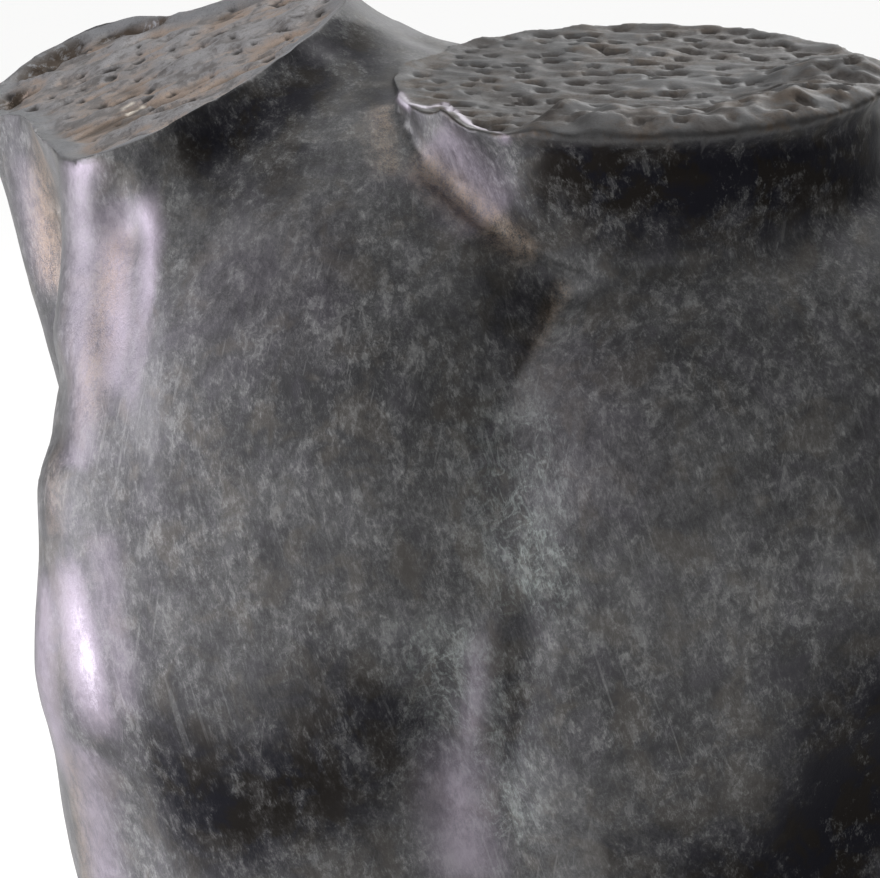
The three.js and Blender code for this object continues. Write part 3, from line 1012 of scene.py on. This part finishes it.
def blended(tree, share, a, b):
    """Colour a where share is 0 and b where it is 1."""
    node = add(tree, "ShaderNodeMix", {"Factor": share}, data_type="RGBA")
    ports = [i for i, port in enumerate(node.inputs) if port.type == "RGBA"]
    colours = [c if isinstance(c, bpy.types.NodeSocket) else (*c, 1) for c in (a, b)]
    feed(tree, node, zip(ports, colours))
    return next(o for o in node.outputs if o.type == "RGBA")


def weighted(tree, *parts):
    """The sum of values, each times its weight."""
    total, *others = [times(tree, value, weight) for value, weight in parts]
    for part in others:
        total = plus(tree, total, part)
    return total


def layered(tree, colour, *layers):
    """A colour with others over it. Each layer is its share, from 0 to 1, and its colour."""
    for share, over in layers:
        colour = blended(tree, share, colour, over)
    return colour


def mark(tree, name):
    """The number that the vertices carry under that name."""
    return add(tree, "ShaderNodeAttribute", attribute_name=name).outputs["Fac"]


# %% The torso's bronze
DARK = (0.028, 0.028, 0.03)
GREY = (0.1, 0.1, 0.102)
FLAKE = (0.25, 0.252, 0.25)
WARM = (0.1, 0.086, 0.07)
VIOLET = (0.075, 0.068, 0.085)
LILAC = (0.27, 0.235, 0.285)
PAINTED_HIGHLIGHT = (0.47, 0.44, 0.49)
TAN = (0.25, 0.18, 0.125)
VERDIGRIS = (0.27, 0.305, 0.295)
CUT_GREY = (0.045, 0.045, 0.046)
CUT_BROWN = (0.055, 0.042, 0.032)
CUT_DARK = (0.016, 0.012, 0.01)
WORN_GREY = (0.22, 0.215, 0.22)
WORN_TAN = (0.26, 0.2, 0.16)
RIM_GREY = (0.17, 0.175, 0.185)
BARE = (0.8, 0.74, 0.64)
WORN_DARK = (0.1, 0.09, 0.085)
WORN_DARK_BROWN = (0.045, 0.032, 0.022)
PAINTED_SHADE_BLUE = (0.008, 0.008, 0.011)
PAINTED_SHADE_BROWN = (0.0105, 0.009, 0.008)
METALLIC = 0.65


def tilted(tree, place, tilt, seed):
    """The place turned in the picture's plane, so that a stretched noise runs at a tilt from upright."""
    return add(tree, "ShaderNodeMapping", {
        "Vector": place, "Rotation": (0, math.radians(tilt), 0), "Location": (seed, 0, 0),
    }).outputs[0]


def scratches(tree, place, tilt, seed):
    """Long thin scratches that run at a tilt from upright, from 0 to 1."""
    lines = cloud(tree, tilted(tree, place, tilt, seed), 1, 1, 0.5, 0.0, (900, 250, 16))
    gaps = cloud(tree, tilted(tree, place, tilt, seed), 24, 2, 0.5)
    return times(tree, between(tree, lines, 0.66, 0.72), between(tree, gaps, 0.52, 0.62))


def creases(tree, value, width):
    """Thin curling lines where a noise passes its middle value, from 0 to 1."""
    off_middle = add(tree, "ShaderNodeMath", {0: value, 1: 0.5}, operation="SUBTRACT").outputs[0]
    distance = add(tree, "ShaderNodeMath", {0: off_middle}, operation="ABSOLUTE").outputs[0]
    return between(tree, distance, 0.0, width, 1.0, 0.0)


def torso_bronze():
    """The patina of the skin, and the rough bronze of its cuts."""
    material, tree, shader = new_material("torso_bronze")
    place = add(tree, "ShaderNodeTexCoord").outputs["Object"]
    broad = cloud(tree, place, 22, 4, 0.6)
    patches = cloud(tree, place, 85, 7, 0.7, 0.3, (1, 1, 0.75))
    flakes = cloud(tree, place, 330, 6, 0.75, 0.4, (1, 1, 0.7))
    fibres = cloud(tree, tilted(tree, place, 20, 0.2), 1500, 3, 0.75, 0.9, (1, 1, 0.24))
    grain = cloud(tree, place, 2600, 2, 0.7)
    curls = creases(tree, cloud(tree, place, 300, 2, 0.6, 0.8, (1, 1, 0.8)), 0.05)

    tone = weighted(tree, (broad, 0.75), (patches, 0.9), (flakes, 0.8), (fibres, 0.4), (grain, 0.3))
    hue = cloud(tree, place, 85, 4, 0.6, 0.5)
    flake = times(tree, between(tree, fibres, 0.5, 0.66), between(tree, flakes, 0.42, 0.6))
    flake = plus(tree, flake, times(tree, times(tree, curls, between(tree, fibres, 0.35, 0.6)), 0.5))
    spots = times(tree, between(tree, flakes, 0.5, 0.6), between(tree, patches, 0.42, 0.6))
    flake = times(tree, flake, between(tree, patches, 0.36, 0.6, 0.2, 0.8))
    flake = plus(tree, flake, times(tree, spots, 0.55))
    lines = plus(tree, scratches(tree, place, 18, 0.3), scratches(tree, place, -9, 1.7))
    flake = plus(tree, flake, times(tree, lines, 0.4))
    rings = creases(tree, cloud(tree, place, 150, 3, 0.6, 1.2, (1, 1, 0.8)), 0.05)
    bloom = weighted(tree, (rings, 0.7), (between(tree, patches, 0.46, 0.62), 0.5))
    bloom = times(tree, bloom, between(tree, plus(tree, flakes, fibres), 0.85, 1.15, 0.25, 1.0))
    # Rubbed lilac patina, and painted highlight where the mark is strong.
    rubbed_and_highlight = times(tree, mark(tree, "rubbed_and_highlight"), between(tree, tone, 1.2, 1.8, 0.5, 1.0))
    dust = times(tree, mark(tree, "dust"), between(tree, plus(tree, flakes, grain), 0.75, 1.25))
    gaps = plus(tree, patches, times(tree, plus(tree, fibres, flakes), 0.3))
    # Painted shade from the marks, broken up by the patina's gaps and flakes.
    painted_shade = times(tree, mark(tree, "painted_shade"), between(tree, gaps, 1.05, 0.68, 0.65, 1.0))
    painted_shade = times(tree, painted_shade, between(tree, flake, 0.0, 1.0, 1.0, 0.75))
    patina = layered(
        tree, DARK,
        (between(tree, tone, 1.27, 1.92), GREY),
        (times(tree, between(tree, hue, 0.5, 0.64), 0.28), WARM),
        (times(tree, between(tree, hue, 0.48, 0.36), 0.2), VIOLET),
        (times(tree, flake, 0.5), FLAKE),
        (times(tree, times(tree, mark(tree, "verdigris"), bloom), 0.6), VERDIGRIS),
        # Lilac rubbed patina, then a painted highlight where the mark is strong.
        (times(tree, rubbed_and_highlight, 0.8), LILAC),
        (between(tree, rubbed_and_highlight, 0.8, 1.5), PAINTED_HIGHLIGHT),
        (times(tree, dust, 0.7), TAN),
        # Painted shade, blue-black and brown-black.
        (times(tree, painted_shade, 0.9), blended(tree, between(tree, hue, 0.44, 0.56), PAINTED_SHADE_BLUE, PAINTED_SHADE_BROWN)),
    )

    # The cuts are darker in the pits and in the waves' hollows.
    hollow = plus(tree, mark(tree, "hollow"), times(tree, plus(tree, flakes, fibres), 0.3))
    fresh = layered(
        tree, CUT_GREY,
        (between(tree, patches, 0.45, 0.62), CUT_BROWN),
        (between(tree, hollow, 0.7, 1.2), CUT_DARK),
    )
    worn = layered(
        tree, WORN_GREY,
        (between(tree, weighted(tree, (hollow, 0.6), (patches, 0.7)), 0.78, 1.06), WORN_TAN),
        (times(tree, between(tree, plus(tree, patches, flakes), 1.03, 0.86), 0.75), WORN_DARK),
        # Darker brown in the waves' deepest hollows, and on the crusts.
        (times(tree, between(tree, hollow, 1.0, 1.3), 0.85), WORN_DARK_BROWN),
        (times(tree, mark(tree, "near_rim"), 0.85), RIM_GREY),
        (times(tree, mark(tree, "crust"), between(tree, flakes, 0.36, 0.52)), WORN_DARK_BROWN),
        (mark(tree, "bare"), BARE),
    )
    cut_colour = layered(
        tree, blended(tree, mark(tree, "weathered"), fresh, worn),
        # Darker in the pits, and with the fine grain.
        (between(tree, mark(tree, "pit"), 0.05, 0.6, 0.0, 0.9), CUT_DARK),
        (between(tree, plus(tree, fibres, grain), 1.0, 0.75, 0.0, 0.45), CUT_DARK),
    )

    rough = between(tree, tone, 1.2, 1.9, 0.4, 0.52)
    rough = plus(tree, rough, times(tree, flake, 0.12))
    rough = plus(tree, rough, times(tree, painted_shade, 0.1))
    relief = weighted(tree, (patches, 0.6), (flakes, 0.4), (plus(tree, fibres, grain), 0.12))
    bump = add(tree, "ShaderNodeBump", {"Height": relief, "Strength": 0.45, "Distance": 0.6 * MM})
    feed(tree, shader, {
        "Base Color": blended(tree, mark(tree, "cut_face"), patina, cut_colour), "Metallic": METALLIC,
        # Less reflection where the shade is painted, so that it stays dark.
        "Roughness": rough, "Specular IOR Level": between(tree, painted_shade, 0.2, 1.0, 0.5, 0.05),
        "Normal": bump.outputs[0],
    })
    return material


skin.data.materials.clear()
skin.data.materials.append(torso_bronze())
print(skin.data.materials[0].name, "has", len(skin.data.materials[0].node_tree.nodes), "nodes")

# %% [markdown]
# ## The plinth's bronze
#
# The plinth could share the torso's material, but the eye should stay on the figure. So it gets a plainer
# and duller one of the same two greys, without flakes or scratches.

# %% The plinth's bronze
def plinth_bronze():
    """A plain mottled bronze."""
    material, tree, shader = new_material("plinth_bronze")
    place = add(tree, "ShaderNodeTexCoord").outputs["Object"]
    mottle = cloud(tree, place, 60, 8, 0.65, 0.3)
    brushing = cloud(tree, place, 300, 4, 0.6, 0.0, (0.4, 2.5, 2.5))
    tone = weighted(tree, (between(tree, mottle, 0.35, 0.65), 0.7), (brushing, 0.3))
    bump = add(tree, "ShaderNodeBump", {"Height": tone, "Strength": 0.25, "Distance": 0.3 * MM})
    feed(tree, shader, {
        "Base Color": blended(tree, tone, DARK, GREY), "Metallic": METALLIC,
        "Roughness": between(tree, tone, 0.1, 0.9, 0.48, 0.66), "Normal": bump.outputs[0],
    })
    return material


block.data.materials.append(plinth_bronze())
print(block.data.materials[0].name, "has", len(block.data.materials[0].node_tree.nodes), "nodes")

# %% [markdown]
# ## Studio
#
# Dark bronze shows what stands round it, so each light is placed for the face that mirrors it. A tall
# narrow softbox at the figure's right gives the bright column and the spot on the breast muscle. A weaker
# one at the front right fills the banks that turn towards it, one behind draws the cuts' far edges, and a
# wide light above shows the cuts' relief. Almost nothing stands in front, which keeps the chest dark. The
# background is plain white to the camera, and less than half as bright to the bronze.

# %% Floor, background and lights
FLOOR_SIZE = 12
FLOOR_WHITE = (0.92, 0.92, 0.915)
FLOOR_ROUGHNESS = 0.8
STUDIO_WHITE = (1, 1, 1)
STUDIO_FILL = 0.46

bpy.ops.mesh.primitive_plane_add(size=FLOOR_SIZE, location=(0, 0, plinth_low.z))
floor = bpy.context.object
floor.name = "floor"
floor_material, floor_tree, floor_shader = new_material("floor_paper")
feed(floor_tree, floor_shader, {"Base Color": (*FLOOR_WHITE, 1), "Roughness": FLOOR_ROUGHNESS})
floor.data.materials.append(floor_material)
floor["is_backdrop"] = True

world = bpy.data.worlds.new("studio")
bpy.context.scene.world = world
world.use_nodes = True
seen = add(world.node_tree, "ShaderNodeLightPath").outputs["Is Camera Ray"]
brightness = add(world.node_tree, "ShaderNodeMapRange", {"Value": seen, "To Min": STUDIO_FILL})
feed(world.node_tree, world.node_tree.nodes["Background"], {
    "Color": (*STUDIO_WHITE, 1), "Strength": brightness.outputs[0],
})


def softbox(name, place, target, width, height, power, colour=(1, 1, 1)):
    """A rectangular light that faces a target, and that the camera doesn't see."""
    lamp = placed(name, bpy.data.lights.new(name, "AREA"))
    lamp.data.shape = "RECTANGLE"
    lamp.data.size, lamp.data.size_y = width, height
    lamp.data.energy = power
    lamp.data.color = colour
    lamp.location = place
    lamp.rotation_euler = (Vector(target) - Vector(place)).to_track_quat("-Z", "Y").to_euler()
    lamp.visible_camera = False
    return lamp


chest = (0, 0, 0.5)
softbox("left softbox", (-1.6, -0.2, 0.5), chest, 0.35, 1.0, 23, (0.97, 0.94, 1.0))
softbox("left front softbox", (-1.5, -1.3, 0.9), chest, 1.2, 1.6, 12)
softbox("back softbox", (0.4, 2.2, 1.5), chest, 1.6, 0.7, 13)
ceiling = placed("ceiling light", bpy.data.lights.new("ceiling light", "SUN"))
ceiling.data.energy = 1.9
ceiling.data.angle = math.radians(70)
ceiling.rotation_euler = Vector((0, -0.35, -1)).to_track_quat("-Z", "Y").to_euler()

bpy.context.scene.view_settings.view_transform = "Standard"
bpy.context.scene.view_settings.look = "None"

# %% [markdown]
# ## A last look at the size
#
# The skin was drawn out and pushed in, so its box is compared with the solid's: it may be smaller,
# not larger.

# %% Size of the finished model
visual_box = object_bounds()
grown = any(visual_box[0][i] < solid_box[0][i] - 1e-6 for i in range(3))
grown = grown or any(visual_box[1][i] > solid_box[1][i] + 1e-6 for i in range(3))
print("grown past the solid:", grown)
for piece in (skin, block):
    print(piece.name, triangles(piece), "triangles")
